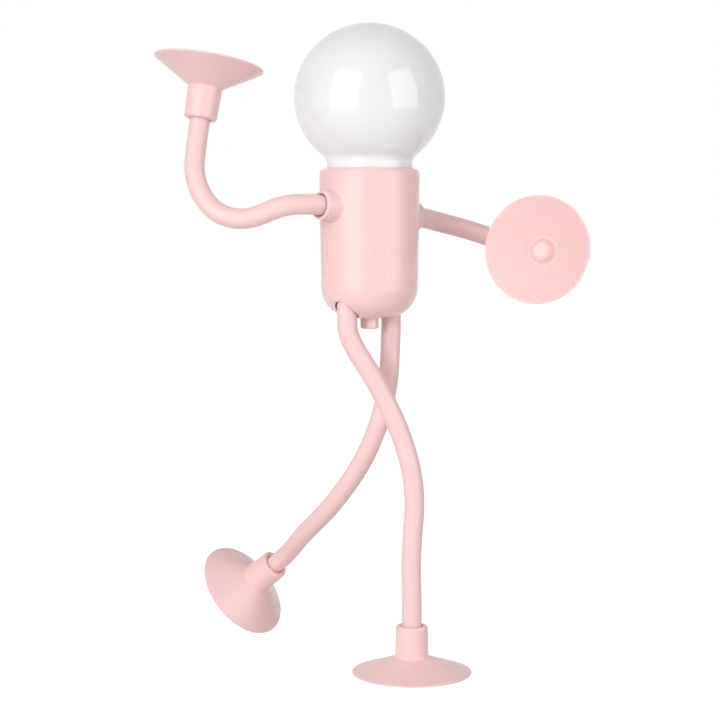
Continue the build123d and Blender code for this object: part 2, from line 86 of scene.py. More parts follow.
# Lines and surfaces as arrays
def roundedLine(corners, radii, step=0.6, arcTurn=6.0):
    # Straight runs joined by arcs. At each corner the arc of its radius touches both runs, so it starts
    # radius * tan(half the turn) before the corner, and its middle is radius / cos(half the turn) from it.
    # At a share s of the turn a point is middle + (spokeIn * sin((1 - s) * turn) + spokeOut * sin(s * turn))
    # / sin(turn). Runs and arcs are sampled at even steps.
    leastTurn, leastStep = 1e-4, 1e-6
    corners = np.array(corners, float)
    ends = []
    for before, corner, after, radius in zip(corners[:-2], corners[1:-1], corners[2:], radii):
        wayIn, wayOut = unit(corner - before), unit(after - corner)
        bend = np.arccos(np.clip(wayIn @ wayOut, -1, 1))
        if radius <= 0 or bend < leastTurn:
            ends.append((corner, corner, corner[None]))
            continue
        reach = radius * tan(bend / 2)
        centre = corner + unit(wayOut - wayIn) * radius / cos(bend / 2)
        start, stop = corner - wayIn * reach, corner + wayOut * reach
        shares = np.linspace(0, 1, max(3, int(np.ceil(degrees(bend) / arcTurn)) + 1))[:, None]
        spokeIn, spokeOut = start - centre, stop - centre
        arc = centre + (spokeIn * np.sin((1 - shares) * bend) + spokeOut * np.sin(shares * bend)) / sin(bend)
        ends.append((start, stop, arc))
    line = [corners[:1]]
    here = corners[0]
    for start, stop, arc in ends + [(corners[-1], corners[-1], corners[-1:])]:
        count = int(np.ceil(np.linalg.norm(start - here) / step))
        if count > 1:
            line.append(here + (start - here) * np.linspace(0, 1, count + 1)[1:-1, None])
        line.append(arc)
        here = stop
    line = np.concatenate(line)
    apart = np.linalg.norm(np.diff(line, axis=0), axis=1) > leastStep
    return line[np.concatenate([[True], apart])]


def gridFaces(rows, columns, wrapRows=False, flip=False):
    # Four-sided faces between neighbouring rows and columns of a net whose points are numbered row by row:
    # row * columns + column. The columns go round, so the last one meets the first.
    i, j = np.divmod(np.arange((rows if wrapRows else rows - 1) * columns), columns)
    nextI, nextJ = (i + 1) % rows, (j + 1) % columns
    faces = np.stack([i * columns + j, i * columns + nextJ, nextI * columns + nextJ, nextI * columns + j], 1)
    return faces[:, ::-1] if flip else faces


def revolve(profile, around, centre, axis, side):
    # A profile of (radius, height) pairs turned about an axis: each point is
    # centre + axis * height + radius * (side * cos + across * sin)
    axis = unit(axis)
    side = unit(side - axis * (side @ axis))
    angles = np.arange(around) * 2 * pi / around
    wheel = np.cos(angles)[:, None] * side + np.sin(angles)[:, None] * np.cross(axis, side)
    return centre + profile[:, 1, None, None] * axis + profile[:, 0, None, None] * wheel


def newPiece(name, nets, slotName, body):
    # One closed mesh from nets of points in millimetres. Each net is (points, quads, caps), and its quads
    # and caps are numbered from its own first point. Doubles are merged and then the faces turned outwards.
    near, tiny = 2e-6, 1e-7  # metres: points that are one point, and edges that are none
    clouds = [points.reshape(-1, 3) for points, quads, caps in nets]
    starts = np.cumsum([0] + [len(cloud) for cloud in clouds])
    faces = []
    for start, (points, quads, caps) in zip(starts, nets):
        faces += (quads + start).tolist() + [(cap + start).tolist() for cap in caps]
    mesh = bpy.data.meshes.new(name)
    mesh.from_pydata((np.concatenate(clouds) * mm).tolist(), [], faces)
    shape = bmesh.new()
    shape.from_mesh(mesh)
    bmesh.ops.remove_doubles(shape, verts=shape.verts, dist=near)
    bmesh.ops.dissolve_degenerate(shape, edges=shape.edges, dist=tiny)
    bmesh.ops.recalc_face_normals(shape, faces=shape.faces)
    openEdges = sum(not edge.is_manifold for edge in shape.edges)
    shape.to_mesh(mesh)
    shape.free()
    mesh.polygons.foreach_set("use_smooth", np.ones(len(mesh.polygons), bool))
    piece = addObject(name, mesh, slotName)
    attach(piece, body)
    print(name, len(mesh.polygons), "faces,", openEdges, "open edges")
    return piece


def addObject(name, mesh, slotName):
    # A mesh put into the scene with the material of its slot
    mesh.materials.append(slotMaterials[slotName])
    piece = bpy.data.objects.new(name, mesh)
    bpy.context.scene.collection.objects.link(piece)
    return piece


# Materials
noiseLow, noiseHigh = 0.3, 0.7  # nearly all of a noise's output lies between these
rosyAbs = {"IOR": 1.54, "Subsurface Weight": 0.1, "Subsurface Scale": 0.002,
           "Subsurface Radius": (1.0, 0.45, 0.4)}


def hexColour(text):
    # sRGB hex to linear: c / 12.92 below 0.04045, else ((c + 0.055) / 1.055) ^ 2.4
    c = np.array([int(text[i:i + 2], 16) for i in (1, 3, 5)]) / 255
    c = np.where(c <= 0.04045, c / 12.92, ((c + 0.055) / 1.055) ** 2.4)
    return (*c.tolist(), 1.0)


def addNode(tree, kind, inputs=None, **settings):
    # One shader node. Each input is a value to set or a socket to link, and the rest are its own settings.
    node = tree.nodes.new("ShaderNode" + kind)
    for key, value in settings.items():
        setattr(node, key, value)
    for key, value in (inputs or {}).items():
        if isinstance(value, bpy.types.NodeSocket):
            tree.links.new(value, node.inputs[key])
        else:
            node.inputs[key].default_value = value
    return node


def newMaterial(name, shader):
    # A material with its shader's own values set, and the place of each point in the object, in metres
    material = bpy.data.materials.new(name)
    material.use_nodes = True
    tree = material.node_tree
    tree.nodes.clear()
    principled = addNode(tree, "BsdfPrincipled", shader)
    addNode(tree, "OutputMaterial", {"Surface": principled.outputs["BSDF"]})
    place = addNode(tree, "TexCoord").outputs["Object"]
    return material, tree, principled, place


def perMetre(size):
    # Noise scale at which one grain is about as wide as a size in millimetres: 1 / size in metres
    return 1 / (size * mm)


def tint(tree, principled, place, colours, patch, detail=2.0):
    # Base colour that wanders between two near colours over patches of a size in millimetres: a noise, whose
    # low and high are the first and the second colour
    noise = addNode(tree, "TexNoise", {"Vector": place, "Scale": perMetre(patch), "Detail": detail})
    ramp = addNode(tree, "ValToRGB", {"Fac": noise.outputs["Fac"]})
    for element, position, colour in zip(ramp.color_ramp.elements, (noiseLow, noiseHigh), colours):
        element.position = position
        element.color = hexColour(colour)
    tree.links.new(ramp.outputs["Color"], principled.inputs["Base Color"])


def relief(tree, principled, vector, size, depth, roughness, detail):
    # Fine relief of a grain size and depth in millimetres. Roughness goes evenly from its first value in
    # the hollows to its second on the heights.
    noise = addNode(tree, "TexNoise", {"Vector": vector, "Scale": perMetre(size), "Detail": detail})
    bump = addNode(tree, "Bump", {"Height": noise.outputs["Fac"], "Distance": depth * mm})
    spread = addNode(tree, "MapRange", {
        "Value": noise.outputs["Fac"], "From Min": noiseLow, "From Max": noiseHigh,
        "To Min": roughness[0], "To Max": roughness[1]})
    tree.links.new(bump.outputs["Normal"], principled.inputs["Normal"])
    tree.links.new(spread.outputs["Result"], principled.inputs["Roughness"])


def coat(name, look):
    # A material with the tint and relief of its dictionary. The relief lies over each point's place, or over
    # a UV map where one is named, and each coordinate is first multiplied by its stretch.
    material, tree, principled, place = newMaterial(name, look["shader"])
    tint(tree, principled, place, look["colours"], look["patch"])
    vector = addNode(tree, "UVMap", uv_map=look["map"]).outputs["UV"] if "map" in look else place
    if "stretch" in look:
        vector = addNode(tree, "Mapping", {"Vector": vector, "Scale": look["stretch"]}).outputs["Vector"]
    relief(tree, principled, vector, look["grain"], look["depth"], look["roughness"], look["detail"])
    return material


def mouldedAbs():
    # Rose ABS from a spark-eroded mould: an even satin skin that spreads highlights into soft bands.
    # The erosion is 0.05 mm across and is drawn at 0.5 mm, so that it shows at all.
    return coat("mouldedAbs", {
        "shader": {**rosyAbs, "Specular IOR Level": 0.27}, "colours": ("#F7CFCD", "#F8D1CF"), "patch": 9.0,
        "grain": 0.5, "depth": 0.003, "detail": 3.0, "roughness": (0.22, 0.28)})


def polishedAbs():
    # The button's ABS from a polished mould: smoother and a little glossier than the drum's, with faint
    # waves from the polishing
    return coat("polishedAbs", {
        "shader": rosyAbs, "colours": ("#F8D3D1", "#F9D6D4"), "patch": 4.0,
        "grain": 0.7, "depth": 0.002, "detail": 3.0, "roughness": (0.18, 0.24)})


def extrudedSilicone():
    # Silicone tube drawn through a die: dull and even, with faint lengthwise draw lines.
    # The lines are 0.1 mm apart on the real tube and are drawn 0.8 mm apart, so that they show.
    return coat("extrudedSilicone", {
        "shader": {"IOR": 1.41, "Specular IOR Level": 0.4}, "colours": ("#F4CDCB", "#F6D0CE"), "patch": 11.0,
        "map": "sleeve", "stretch": (1.0, 0.04, 1.0),
        "grain": 0.8, "depth": 0.005, "detail": 3.0, "roughness": (0.36, 0.44)})


def mouldedSilicone():
    # Silicone pressed in a smooth mould: a soft satin skin that keeps its rose in the shade, with the
    # mould's faint waves, about 1 mm across, in its highlights
    return coat("mouldedSilicone", {
        "shader": {"IOR": 1.41, "Specular IOR Level": 0.35}, "colours": ("#F8D0CE", "#F9D2D0"), "patch": 8.0,
        "grain": 1.2, "depth": 0.006, "detail": 3.0, "roughness": (0.26, 0.33)})


def opalAcrylic():
    # Opal acrylic blown in a polished mould: milk-white under a glassy skin that shows each softbox with a
    # crisp edge. Blowing leaves long, shallow waves that bend those edges a little.
    return coat("opalAcrylic", {
        "shader": {"IOR": 1.49}, "colours": ("#F0F0F2", "#F3F3F5"), "patch": 14.0,
        "grain": 12.0, "depth": 0.006, "detail": 0.0, "roughness": (0.005, 0.012)})


def mouldedBlackAbs():
    # Black ABS for parts that nobody sees: a coarse spark-eroded skin
    return coat("mouldedBlackAbs", {
        "shader": {"IOR": 1.54}, "colours": ("#16171A", "#1E1F22"), "patch": 3.0,
        "grain": 0.4, "depth": 0.01, "detail": 3.0, "roughness": (0.45, 0.6)})


def mouldedNylon():
    # Natural nylon: a waxy off-white with a soft shine
    return coat("mouldedNylon", {
        "shader": {"IOR": 1.53, "Subsurface Weight": 0.2, "Subsurface Scale": 0.001},
        "colours": ("#E6E3D8", "#EDEAE0"), "patch": 1.5,
        "grain": 0.3, "depth": 0.004, "detail": 3.0, "roughness": (0.35, 0.45)})


def epoxyLens():
    # Clear epoxy over yellow phosphor: a glossy pale-yellow dome
    return coat("epoxyLens", {
        "shader": {"IOR": 1.52, "Subsurface Weight": 0.3, "Subsurface Scale": 0.001},
        "colours": ("#F2E38C", "#F8EDB0"), "patch": 0.8,
        "grain": 0.5, "depth": 0.002, "detail": 3.0, "roughness": (0.08, 0.14)})


def drawnSteel():
    # Bright steel drawn or rolled to size: fine lengthwise marks that stretch each highlight. Real marks are
    # about 0.03 mm across and are drawn at 0.15 mm.
    return coat("drawnSteel", {
        "shader": {"Metallic": 1.0}, "colours": ("#B9BABC", "#C8C9CB"), "patch": 1.0,
        "stretch": (1.0, 1.0, 0.08),
        "grain": 0.15, "depth": 0.003, "detail": 3.0, "roughness": (0.25, 0.38)})


def platedZinc():
    # Steel screws with bright zinc plating: a slightly blue, cloudy shine
    return coat("platedZinc", {
        "shader": {"Metallic": 1.0}, "colours": ("#BFC4CC", "#CFD2D6"), "patch": 0.6,
        "grain": 0.12, "depth": 0.003, "detail": 3.0, "roughness": (0.22, 0.34)})


def platedCan():
    # Nickel-plated cell can, drawn from sheet: satin with lengthwise drawing marks. Real marks are about
    # 0.05 mm across and are drawn at 0.3 mm.
    return coat("platedCan", {
        "shader": {"Metallic": 1.0}, "colours": ("#A9A9AB", "#BDBDBE"), "patch": 4.0,
        "stretch": (1.0, 1.0, 0.05),
        "grain": 0.3, "depth": 0.004, "detail": 3.0, "roughness": (0.3, 0.42)})


def tinnedCopper():
    # Copper wire dipped in tin: pale with a warm cast where the tin is thin
    return coat("tinnedCopper", {
        "shader": {"Metallic": 1.0}, "colours": ("#D0C3B2", "#D6D3CD"), "patch": 0.7,
        "grain": 0.2, "depth": 0.003, "detail": 3.0, "roughness": (0.28, 0.4)})


def solderMaskedBoard():
    # Glass-fibre board under white solder mask: the weave, 0.8 mm between threads, lifts the mask where the
    # waves of both ways are high, which is their product
    look = {"thread": 0.8, "colours": ("#D9DED8", "#E7EAE5"), "depth": 0.02, "roughness": 0.32,
            "bands": 20}  # bands of a wave texture per unit at scale 1
    material, tree, principled, place = newMaterial(
        "solderMaskedBoard", {"IOR": 1.5, "Roughness": look["roughness"]})
    wave = perMetre(look["thread"]) / look["bands"]
    weaves = [addNode(tree, "TexWave", {"Vector": place, "Scale": wave}, bands_direction=way)
              for way in ("X", "Y")]
    cloth = addNode(tree, "Math", {0: weaves[0].outputs["Fac"], 1: weaves[1].outputs["Fac"]},
                    operation="MULTIPLY")
    ramp = addNode(tree, "ValToRGB", {"Fac": cloth.outputs["Value"]})
    for element, colour in zip(ramp.color_ramp.elements, look["colours"]):
        element.color = hexColour(colour)
    tree.links.new(ramp.outputs["Color"], principled.inputs["Base Color"])
    bump = addNode(tree, "Bump", {"Height": cloth.outputs["Value"], "Distance": look["depth"] * mm})
    tree.links.new(bump.outputs["Normal"], principled.inputs["Normal"])
    return material


slotMaterials = {
    "body_abs": mouldedAbs(), "button_abs": polishedAbs(), "sleeve_silicone": extrudedSilicone(),
    "cup_silicone": mouldedSilicone(), "opal_globe": opalAcrylic(), "steel_wire": drawnSteel(),
    "zinc_screws": platedZinc(), "cell_can": platedCan(), "black_abs": mouldedBlackAbs(),
    "white_nylon": mouldedNylon(), "fibre_board": solderMaskedBoard(), "led_resin": epoxyLens(),
    "tinned_copper": tinnedCopper(),
}
slotMaterials["spring_steel"] = slotMaterials["steel_wire"]
for row in frame["record"]["subparts"]:
    node = frame["nodes"][row["node"]]
    node.data.materials.clear()
    node.data.materials.append(slotMaterials[row["material_slot"]])
print("materials made,", len(bpy.data.materials))


# The drum
def drumRadius(height):
    # Radius of the drafted wall: it narrows evenly from the top to the foot
    share = (height - fit["bodyBottom"]) / (fit["bodyTop"] - fit["bodyBottom"])
    return fit["footRadius"] + (fit["topRadius"] - fit["footRadius"]) * share


def undersideHeight(radius):
    # Height of the underside: the slightly domed bottom, then an arc of the bottom rounding that touches
    # the bottom and the wall: arcHeight - sqrt(rounding ^ 2 - (radius - arcRadius) ^ 2)
    rounding, foot, dome = fit["bottomRounding"], fit["footRadius"], fit["bottomDome"]
    slope = dome / foot
    lean = (fit["topRadius"] - foot) / (fit["bodyTop"] - fit["bodyBottom"] - dome)
    rise = rounding * sqrt(1 + slope ** 2)
    arcRadius = (foot - rounding * sqrt(1 + lean ** 2) + lean * (rise - dome)) / (1 - lean * slope)
    arcHeight = fit["bodyBottom"] + slope * arcRadius + rise
    touch = arcRadius + rounding * slope / sqrt(1 + slope ** 2)
    arc = arcHeight - np.sqrt(np.maximum(rounding ** 2 - (radius - arcRadius) ** 2, 0))
    return np.where(radius < touch, fit["bodyBottom"] + slope * radius, arc)


def windowEdge(rows, columns):
    # Grid places round a window, in order: along its first row, down its last column and back
    r0, r1 = rows
    c0, c1 = columns
    across, down = np.arange(c0, c1), np.arange(r0, r1)
    i = np.concatenate([np.full(len(across), r0), down, np.full(len(across), r1), down[::-1] + 1])
    j = np.concatenate([across, np.full(len(down), c1), across[::-1] + 1, np.full(len(down), c0)])
    return i, j


def softEdge(foot, corner, side, steps=6):
    # Rows of a parabola from one surface to another past their corner:
    # (1 - t)^2 * foot + 2 t (1 - t) * corner + t^2 * side
    t = np.linspace(0, 1, steps + 1)[:, None, None]
    return (1 - t) ** 2 * foot + 2 * t * (1 - t) * corner + t ** 2 * side


def bossNet(edge, way, look):
    # Rings from a window's edge over the drum's skin to a round boss, and on along the boss into its bore.
    # In the boss's own axes (x along it, y level, z across) a ring is (x, radius * cos, radius * sin).
    # On the skin, x is found from (x * run - z * rise)^2 + y^2 = drumRadius^2 in a few rounds, where rise
    # and run are the sine and cosine of the boss's own slope.
    level = unit(np.cross(up, way))
    lift = np.cross(way, level)
    rise = way[2]
    run = sqrt(1 - rise ** 2)
    local = edge - armMiddle
    edgeY, edgeZ = local @ level, local @ lift
    first = np.arctan2(edgeZ[0], edgeY[0])
    sense = np.sign(np.sum(edgeY * np.roll(edgeZ, -1) - edgeZ * np.roll(edgeY, -1)))
    angle = first + sense * np.arange(len(edge)) * 2 * pi / len(edge)
    cosines, sines = np.cos(angle), np.sin(angle)

    def skinX(y, z):
        x = np.full(np.shape(y), fit["topRadius"])
        for _ in range(look["rounds"]):
            radius = drumRadius(armHeight + x * rise + z * run)
            x = (np.sqrt(radius ** 2 - y ** 2) + z * rise) / run
        return x

    wide = look["bossRadius"] + look["bossFillet"]
    shares = np.linspace(1, 0, look["rings"] + 1)[:, None] ** look["crowding"]
    y = wide * cosines + (edgeY - wide * cosines) * shares
    z = wide * sines + (edgeZ - wide * sines) * shares
    skin = np.stack([skinX(y, z), y, z], -1)
    footY, footZ = look["bossRadius"] * cosines, look["bossRadius"] * sines
    corner = np.stack([skinX(footY, footZ), footY, footZ], -1)
    fillet = softEdge(skin[-1], corner, corner + (look["bossFillet"], 0, 0))
    boss = roundedLine(
        [(look["bossStart"], look["bossRadius"] - look["bossDraft"]), (fit["armReach"], look["bossRim"]),
         (fit["armReach"], fit["boreRadius"]), (look["boreEnd"], fit["boreRadius"])],
        [look["bossRounding"], look["boreEdge"]], look["step"], look["bossTurn"])
    rings = np.stack([np.broadcast_to(boss[:, :1], (len(boss), len(angle))),
                      boss[:, 1:] * cosines, boss[:, 1:] * sines], -1)
    net = np.concatenate([skin, fillet[1:], rings])
    return armMiddle + net[..., :1] * way + net[..., 1:2] * level + net[..., 2:] * lift


def legHoleNet(edge, way, look):
    # Rings from a window's edge over the underside to a round hole, and straight up into the leg's bore.
    # In the hole's own axes a ring is (radius * cos, radius * sin, height of the underside there).
    level = np.cross(up, way)
    local = edge - bodyFoot
    edgeX, edgeY = local @ way - fit["legOffset"], local @ level
    angle = np.arctan2(edgeY, edgeX)
    cosines, sines = np.cos(angle), np.sin(angle)
    wide = fit["legBoreRadius"] + look["holeEdge"]
    shares = np.linspace(1, 0, look["rings"] + 1)[:, None]
    x = wide * cosines + (edgeX - wide * cosines) * shares
    y = wide * sines + (edgeY - wide * sines) * shares
    skin = np.stack([x, y, undersideHeight(np.hypot(x + fit["legOffset"], y))], -1)
    skin[0, :, 2] = edge[:, 2]
    boreX, boreY = fit["legBoreRadius"] * cosines, fit["legBoreRadius"] * sines
    corner = np.stack([boreX, boreY, undersideHeight(np.hypot(boreX + fit["legOffset"], boreY))], -1)
    lip = softEdge(skin[-1], corner, corner + (0, 0, look["holeEdge"]))
    end = corner * (1, 1, 0) + (0, 0, fit["legSeat"] + fit["seatGap"])
    bore = lip[-1] + (end - lip[-1]) * np.linspace(0, 1, look["boreRings"] + 1)[1:, None, None]
    net = np.concatenate([skin, lip[1:], bore])
    return bodyFoot + (net[..., :1] + fit["legOffset"]) * way + net[..., 1:2] * level + net[..., 2:] * up


def drum():
    # The moulded drum as one closed surface: a turned wall in which two arm windows and two leg windows are
    # left open, and each is filled by rings that run from its edge to a round boss or hole
    look = {"around": 180, "step": 0.8, "arcTurn": 5.0, "armWindow": 11.2, "armColumns": 15,
            "bossRadius": 6.2, "bossRim": 5.8, "bossFillet": 0.8, "bossRounding": 1.3, "bossStart": 21.5,
            "boreEdge": 0.35, "boreEnd": 17.6, "legWindow": (5.3, 18.9), "legColumns": 15, "holeEdge": 0.4,
            "bossDraft": 0.1, "bossTurn": 9.0, "rounds": 6, "crowding": 0.8, "rings": 7, "boreRings": 6,
            "chamber": 5.2, "floor": 153.8, "floorThickness": 2.5, "groove": (195.6, 198.0, 18.26),
            "collarEdge": 0.4}
    top, bottom = fit["bodyTop"], fit["bodyBottom"]
    foot, collar = fit["footRadius"], fit["collarRadius"]
    hole = fit["buttonRadius"] + fit["buttonGap"]
    low, high, deep = look["groove"]
    windowTop, windowLow = armHeight + look["armWindow"], armHeight - look["armWindow"]
    legIn, legOut = look["legWindow"]
    profile = roundedLine(
        [(collar, high), (collar, top), (fit["topRadius"], top), (drumRadius(windowTop), windowTop),
         (drumRadius(windowLow), windowLow), (foot, bottom + fit["bottomDome"]),
         (hole, bottom + fit["bottomDome"] / foot * hole), (hole, bottom + look["floorThickness"]),
         (look["chamber"], bottom + look["floorThickness"]), (look["chamber"], look["floor"]),
         (collar, look["floor"]), (collar, low), (deep, low), (deep, high)],
        [look["collarEdge"], fit["shoulderRounding"], 0, 0, fit["bottomRounding"], look["boreEdge"],
         look["boreEdge"], 0, 0, 0, 0, 0], look["step"], look["arcTurn"])
    for radius in (legOut, legIn):  # a row more, where the underside passes each edge of the leg windows
        below = (profile[:, 1] < bottom + fit["bottomRounding"]) & (profile[:, 0] < radius)
        at = int(np.argmax(below & (profile[:, 0] > hole + look["boreEdge"])))
        profile = np.insert(profile, at, (radius, undersideHeight(radius)), axis=0)
    rowAt = [int(np.argmin(np.abs(profile - place).sum(1))) for place in (
        (drumRadius(windowTop), windowTop), (drumRadius(windowLow), windowLow),
        (legOut, undersideHeight(legOut)), (legIn, undersideHeight(legIn)))]
    arm = (bossNet, *rowAt[:2], look["armColumns"])
    leg = (legHoleNet, *rowAt[2:], look["legColumns"])
    around = look["around"]
    half = around // 2
    rows = len(profile)
    points = revolve(profile, around, bodyFoot, up, armWay)
    faces = gridFaces(rows, around, wrapRows=True)
    faceRow, faceColumn = np.divmod(np.arange(rows * around), around)
    legColumn = round(fit["legTurn"] * around / 360)
    cut = np.zeros(len(faces), bool)
    nets = []
    for column, way, (net, first, last, wide) in (
            (0, sideWay, arm), (half, -sideWay, arm),
            (legColumn, legWay, leg), (legColumn + half, -legWay, leg)):
        offset = (faceColumn - column + half) % around - half
        cut |= (faceRow >= first) & (faceRow < last) & (offset >= -wide) & (offset < wide)
        i, j = windowEdge((first, last), (column - wide, column + wide))
        place = net(points[i, j % around], way, look)
        place[0] = points[i, j % around]
        count = place.shape[1]
        nets.append((place, gridFaces(len(place), count), [np.arange(count) + (len(place) - 1) * count]))
    nets.append((points, faces[~cut], []))
    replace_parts(newPiece("drum", nets, "body_abs", "body"), "body_shell")


# The globe
def arcLine(centre, radius, start, stop, turnStep=2.0):
    # Points on an arc: centre + radius * (cos, sin) of angles in degrees from start to stop
    angles = np.radians(np.linspace(start, stop, max(3, int(abs(stop - start) / turnStep) + 1)))
    return np.array(centre) + radius * np.stack([np.cos(angles), np.sin(angles)], 1)


def globeProfile(shrink, neck, look):
    # Half outline of a slightly flattened ball on a neck, from the neck's foot to the pole: the neck, an arc
    # that touches neck and ball, and three arcs that meet at 45 degrees. The middle one has its centre a
    # shift out from the axis, and the other two a shift above and below the ball's middle. The shift is
    # (radius - half height) / (2 - sqrt(2)), which makes the three touch.
    shift = (fit["globeRadius"] - fit["globeHalfHeight"]) / (2 - sqrt(2))
    side, crown = fit["globeRadius"] - shift - shrink, fit["globeHalfHeight"] + shift - shrink
    start = radians(look["blendStart"])
    leave = np.array([crown * cos(start), globeHeight + shift - crown * sin(start)])
    blend = (leave[0] - neck) / (1 - cos(start))
    centre = leave + blend * np.array([cos(start), -sin(start)])
    foot = fit["bodyTop"] - fit["neckDepth"]
    rows = look["neckRows"]
    neckLine = np.stack([np.full(rows, neck), np.linspace(foot, centre[1], rows)], 1)
    outline = np.concatenate([
        neckLine, arcLine(centre, blend, 180, 180 - look["blendStart"], look["blendTurn"])[1:],
        arcLine((0, globeHeight + shift), crown, -look["blendStart"], -45)[1:],
        arcLine((shift, globeHeight), side, -45, 45)[1:],
        arcLine((0, globeHeight - shift), crown, 45, 90)[1:]])
    outline[-1, 0] = 0.0
    return outline


def globe():
    # Hollow ball and neck turned about the drum's axis, with three bayonet lugs round the neck's foot
    look = {"wall": 1.8, "neckWall": 2.0, "neckRows": 9, "blendStart": 52.3, "blendTurn": 5.0, "around": 180,
            "lugs": 3, "lugTurn": 12.0, "lugReach": 18.06, "lugHeights": (195.8, 197.8), "lugRoot": 0.5,
            "lugSteps": 9}
    outer = globeProfile(0.0, fit["neckRadius"], look)
    inner = globeProfile(look["wall"], fit["neckRadius"] - look["neckWall"], look)
    profile = np.concatenate([inner[::-1], outer])
    nets = [(revolve(profile, look["around"], bodyFoot, up, armWay),
             gridFaces(len(profile), look["around"]), [])]
    low, high = look["lugHeights"]
    root = fit["neckRadius"] - look["lugRoot"]
    section = np.array([(root, low), (look["lugReach"], low), (look["lugReach"], high), (root, high)])
    count = len(section)
    for number in range(look["lugs"]):
        half = radians(look["lugTurn"] / 2)
        angles = turn + number * 2 * pi / look["lugs"] + np.linspace(-half, half, look["lugSteps"])
        spokes = np.stack([np.cos(angles), np.sin(angles), np.zeros(len(angles))], 1)
        block = bodyFoot + section[None, :, :1] * spokes[:, None] + section[None, :, 1:] * up
        nets.append((block, gridFaces(len(angles), count),
                     [np.arange(count), np.arange(count) + count * (len(angles) - 1)]))
    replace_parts(newPiece("opalGlobe", nets, "opal_globe", "globe"), "globe")


# The push button
def pushButton():
    # Round peg with a rounded end and a flange inside, turned about the drum's axis
    look = {"endRounding": 0.9, "flange": 4.8, "flangeRise": 2.8, "flangeThickness": 1.0, "edge": 0.15,
            "around": 72, "step": 0.4, "arcTurn": 9.0}
    low = fit["bodyBottom"] - fit["buttonStand"]
    seat = fit["bodyBottom"] + look["flangeRise"]
    radius, high = fit["buttonRadius"], seat + look["flangeThickness"]
    profile = roundedLine(
        [(0, low), (radius, low), (radius, seat), (look["flange"], seat), (look["flange"], high), (0, high)],
        [look["endRounding"], look["edge"], look["edge"], look["edge"]], look["step"], look["arcTurn"])
    points = revolve(profile, look["around"], bodyFoot, up, armWay)
    piece = newPiece("pushButton", [(points, gridFaces(len(profile), look["around"]), [])],
                     "button_abs", "button")
    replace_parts(piece, "button")


# Suction cups
def suctionCup(name, node, body, centre, faces, rim, height):
    # Cup turned about its own axis in one closed skin: nub, hollow, lip, outer cone, socket and its bore
    look = {"wall": 1.6, "lip": 0.6, "lipWidth": 0.55, "lipRounding": 0.24, "coneRounding": 0.8,
            "socketWall": 2.05, "socketFlare": 0.35, "mouthRounding": 0.9, "boreRounding": 0.3,
            "nubBase": 5.5, "nubTip": 3.4, "nubRounding": 1.9, "nubFillet": 0.9, "nubHeight": 3.2,
            "around": 144, "step": 0.5, "arcTurn": 6.0}
    back = -unit(faces)
    ceiling = height - look["wall"]
    nubLow = ceiling - look["nubHeight"]
    bore = fit["boreRadius"]
    mouth = bore + look["socketWall"]
    base = mouth + look["socketFlare"]
    end = height + fit["socketLength"]
    profile = roundedLine(
        [(0, nubLow), (look["nubTip"], nubLow), (look["nubBase"], ceiling), (rim - look["lipWidth"], 0),
         (rim, 0), (rim, look["lip"]), (base, height), (mouth, end), (bore, end),
         (bore, end - fit["socketDepth"]), (0, end - fit["socketDepth"])],
        [look["nubRounding"], look["nubFillet"], look["lipRounding"], look["lipRounding"],
         look["lipRounding"], look["coneRounding"], look["mouthRounding"], look["boreRounding"], 0],
        look["step"], look["arcTurn"])
    helper = (0, 1, 0) if abs(back[1]) < 0.7 else (0, 0, 1)  # a direction well off the cup's axis
    points = revolve(profile, look["around"], centre, back, np.cross(back, helper))
    piece = newPiece(name, [(points, gridFaces(len(profile), look["around"]), [])], "cup_silicone", body)
    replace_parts(piece, node)


# Limbs
def centreLine(corners, steps=24):
    # A smooth line past the corners: each corner is the control point of a parabola between the middles of
    # the runs beside it, (1 - t)^2 a + 2 t (1 - t) corner + t^2 b. The second result is each point's place
    # counted in corners.
    middles = (corners[:-1] + corners[1:]) / 2
    middles[0], middles[-1] = corners[0], corners[-1]
    t = np.linspace(0, 1, steps + 1)[1:, None]
    parts = [(1 - t) ** 2 * a + 2 * t * (1 - t) * c + t ** 2 * b
             for a, c, b in zip(middles[:-1], corners[1:-1], middles[1:])]
    line = np.concatenate([corners[:1], *parts])
    return line, 0.5 + np.arange(len(line)) / steps


def tubeFrames(line):
    # Two cross directions at each point, carried along the line with no twist: each is the last one less
    # its share along the new tangent
    offLine = (0.3, 0.5, 0.8)  # a direction that no limb starts along
    tangents = np.gradient(line, axis=0)
    tangents /= np.linalg.norm(tangents, axis=1)[:, None]
    sides = [unit(np.cross(tangents[0], offLine))]
    for tangent in tangents[1:]:
        sides.append(unit(sides[-1] - tangent * (sides[-1] @ tangent)))
    sides = np.array(sides)
    return sides, np.cross(tangents, sides)


